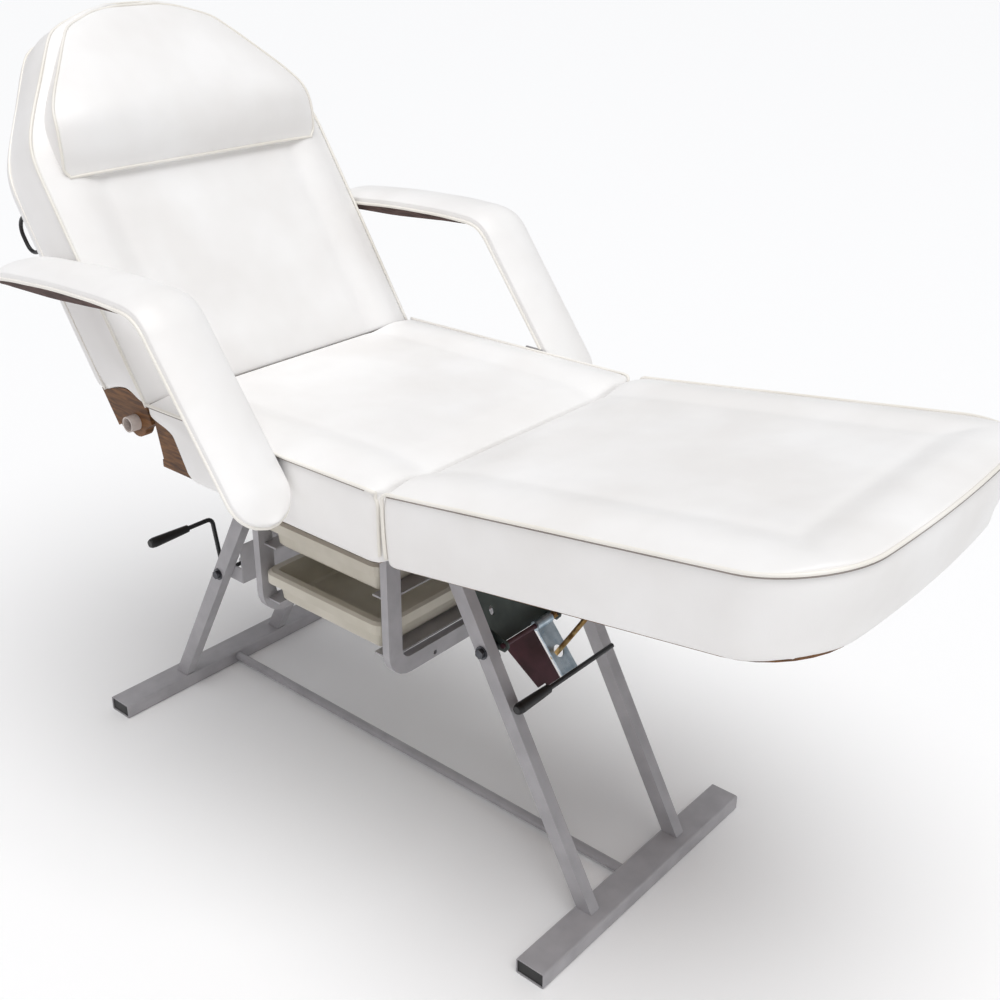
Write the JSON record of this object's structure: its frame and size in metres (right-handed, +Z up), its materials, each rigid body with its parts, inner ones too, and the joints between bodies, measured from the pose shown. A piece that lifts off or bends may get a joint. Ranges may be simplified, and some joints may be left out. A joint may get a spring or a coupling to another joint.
{
  "type": "facial treatment bed",
  "caption": "Upholstered facial bed with a tilting backrest, hinged leg rest, bent armrests, head pillow, slide-out trays and a folded-tube base.",
  "frame": {"origin": "on the floor, under the middle of the whole bed", "axes": "+X towards the foot end, +Y towards the far side, away from the levers, +Z up"},
  "size_m": [1.57, 0.779, 1.2177],
  "materials": {
    "white_vinyl": "satin",
    "plywood": "matte",
    "grey_powder_coat": "satin",
    "black_plastic": "matte",
    "tray_plastic": "satin",
    "zinc_plate": "satin",
    "yellow_zinc": "satin",
    "dark_painted_steel": "satin"
  },
  "bodies": {
    "base": {"arm_board_far": "plywood", "arm_board_near": "plywood", "arm_bracket_far": "grey_powder_coat", "arm_bracket_near": "grey_powder_coat", "arm_pad_far": "white_vinyl", "arm_pad_near": "white_vinyl", "back_pivot_tube": "tray_plastic", "cross_rail_front": "grey_powder_coat", "cross_rail_rear": "grey_powder_coat", "front_cross_plate": "grey_powder_coat", "front_foot_bar": "grey_powder_coat", "front_foot_cap_far": "black_plastic", "front_foot_cap_near": "black_plastic", "front_leg_bolt_far": "zinc_plate", "front_leg_bolt_near": "zinc_plate", "front_leg_far": "grey_powder_coat", "front_leg_near": "grey_powder_coat", "front_lever_spring": "yellow_zinc", "knee_hinge_rod": "zinc_plate", "rear_cross_plate": "grey_powder_coat", "rear_foot_bar": "grey_powder_coat", "rear_foot_cap_far": "black_plastic", "rear_foot_cap_near": "black_plastic", "rear_leg_bolt_far": "zinc_plate", "rear_leg_bolt_near": "zinc_plate", "rear_leg_far": "grey_powder_coat", "rear_leg_near": "grey_powder_coat", "rear_lever_spring": "yellow_zinc", "seat_board": "plywood", "seat_cheek_far": "plywood", "seat_cheek_near": "plywood", "seat_cushion": "white_vinyl", "side_rail_far": "grey_powder_coat", "side_rail_near": "grey_powder_coat", "stretcher_tube": "grey_powder_coat", "tray_hanger_front": "grey_powder_coat", "tray_hanger_rear": "grey_powder_coat"},
    "backrest": {"back_board": "plywood", "back_cushion": "white_vinyl", "back_cheek_near": "plywood", "back_cheek_far": "plywood", "head_pillow": "white_vinyl", "towel_loop": "black_plastic", "back_rod_bracket": "zinc_plate"},
    "back_rod": {"back_lock_rod": "yellow_zinc"},
    "legrest": {"legrest_board": "plywood", "legrest_cushion": "white_vinyl", "legrest_hinge_arm_near": "grey_powder_coat", "legrest_hinge_arm_far": "grey_powder_coat", "leg_rod_bracket": "zinc_plate"},
    "leg_rod": {"leg_lock_rod": "yellow_zinc"},
    "front_lever": {"front_lever_web": "dark_painted_steel", "front_jam_plate": "zinc_plate", "front_lever_bar": "black_plastic", "front_lever_grip": "black_plastic"},
    "rear_lever": {"rear_lever_shaft": "black_plastic", "rear_lever_grip": "black_plastic", "rear_jam_plate": "zinc_plate"},
    "upper_tray_body": {"upper_tray": "tray_plastic"},
    "lower_tray_body": {"lower_tray": "tray_plastic"}
  },
  "joints": [
    {"name": "backrest_tilt", "type": "hinge", "parent": "base", "child": "backrest", "pos_m": [-0.3843, 0, 0.645], "axis": [0, -1, 0], "range_deg": [0, 57]},
    {"name": "back_rod_swing", "type": "hinge", "parent": "backrest", "child": "back_rod", "pos_m": [-0.64416, 0, 0.87072], "axis": [0, -1, 0], "range_deg": [-28.5, 0]},
    {"name": "legrest_tilt", "type": "hinge", "parent": "base", "child": "legrest", "pos_m": [0.1557, 0, 0.572], "axis": [0, 1, 0], "range_deg": [0, 58]},
    {"name": "leg_rod_swing", "type": "hinge", "parent": "legrest", "child": "leg_rod", "pos_m": [0.38347, 0, 0.5927], "axis": [0, 1, 0], "range_deg": [-29, 0]},
    {"name": "front_lever_turn", "type": "hinge", "parent": "base", "child": "front_lever", "pos_m": [0.2007, 0, 0.395], "axis": [0, -1, 0], "range_deg": [0, 10], "stiffness_Nm_per_rad": 1.5, "springref_deg": -22.92},
    {"name": "rear_lever_turn", "type": "hinge", "parent": "base", "child": "rear_lever", "pos_m": [-0.4643, 0, 0.275], "axis": [0, 1, 0], "range_deg": [0, 10], "stiffness_Nm_per_rad": 1.5, "springref_deg": -22.92},
    {"name": "upper_tray_slide", "type": "slide", "parent": "base", "child": "upper_tray_body", "axis": [0, -1, 0], "range_m": [0, 0.25]},
    {"name": "lower_tray_slide", "type": "slide", "parent": "base", "child": "lower_tray_body", "axis": [0, -1, 0], "range_m": [0, 0.25]}
  ],
  "couplings": [
    {"joint": "back_rod_swing", "follows": "backrest_tilt", "ratio": -0.5},
    {"joint": "leg_rod_swing", "follows": "legrest_tilt", "ratio": -0.5}
  ]
}
